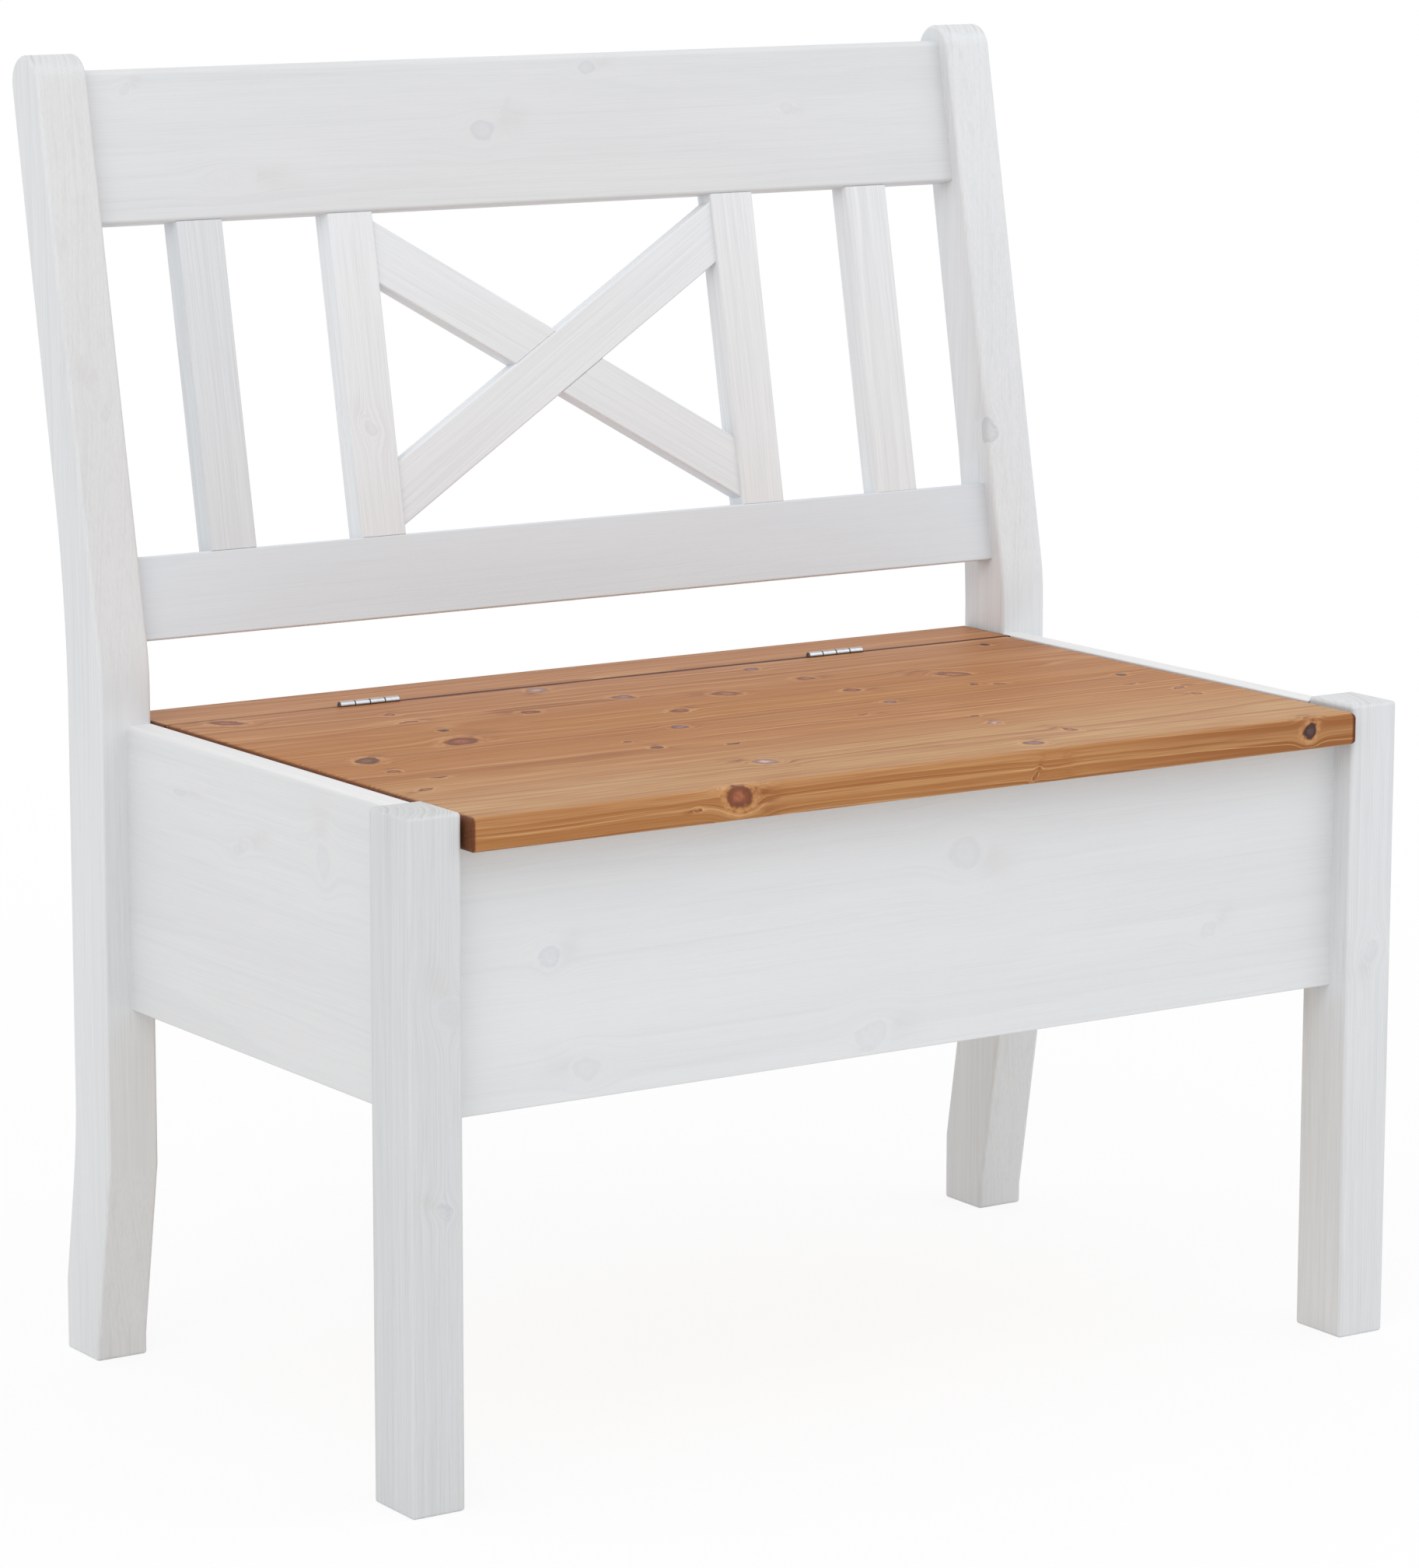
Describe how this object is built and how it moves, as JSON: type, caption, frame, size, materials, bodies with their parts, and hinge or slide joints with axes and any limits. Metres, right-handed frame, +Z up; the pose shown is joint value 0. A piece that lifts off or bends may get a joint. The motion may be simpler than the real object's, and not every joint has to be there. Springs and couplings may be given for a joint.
{
  "type": "storage bench",
  "caption": "Wooden storage bench: a chest on legs with a hinged lid as its seat, and a raked backrest of slats with a crossed brace.",
  "frame": {"origin": "on the floor, at the middle of the bench's outer box", "axes": "+Z up, the front faces -Y, +X runs along the bench to the right as seen from the front"},
  "size_m": [0.834, 0.552, 0.938],
  "materials": {
    "white_pine": "matt white glaze with the grain faintly showing",
    "honey_pine": "clear satin varnish on knotty pine",
    "bare_pine": "planed, unfinished",
    "plywood": "planed, unfinished",
    "beech": "fluted dowel, unfinished",
    "zinc_plate": "bright zinc plate"
  },
  "bodies": {
    "bench": {"front_leg_left": "white_pine", "front_leg_right": "white_pine", "rear_post_left": "white_pine", "rear_post_right": "white_pine", "side_panel_left": "white_pine", "side_panel_right": "white_pine", "front_panel": "white_pine", "back_panel": "white_pine", "chest_floor": "plywood", "floor_cleat_front": "bare_pine", "floor_cleat_back": "bare_pine", "floor_cleat_left": "bare_pine", "floor_cleat_right": "bare_pine", "cleat_screws": "zinc_plate", "seat_strip": "honey_pine", "strip_bearer": "bare_pine", "strip_dowels": "beech", "top_board": "white_pine", "lower_rail": "white_pine", "slat_1": "white_pine", "slat_2": "white_pine", "slat_3": "white_pine", "slat_4": "white_pine", "brace_rising": "white_pine", "brace_falling": "white_pine", "brace_dowels": "beech", "hinge_fixed_leaf_left": "zinc_plate", "hinge_fixed_leaf_right": "zinc_plate", "hinge_pin_left": "zinc_plate", "hinge_pin_right": "zinc_plate", "hinge_fixed_screws": "zinc_plate"},
    "lid": {"lid": "honey_pine", "hinge_lid_leaf_left": "zinc_plate", "hinge_lid_leaf_right": "zinc_plate", "hinge_lid_screws": "zinc_plate"}
  },
  "joints": [
    {"name": "lid_hinge", "type": "hinge", "parent": "bench", "child": "lid", "pos_m": [0, 0.142, 0.471], "axis": [-1, 0, 0], "range_deg": [0, 103.5]}
  ]
}
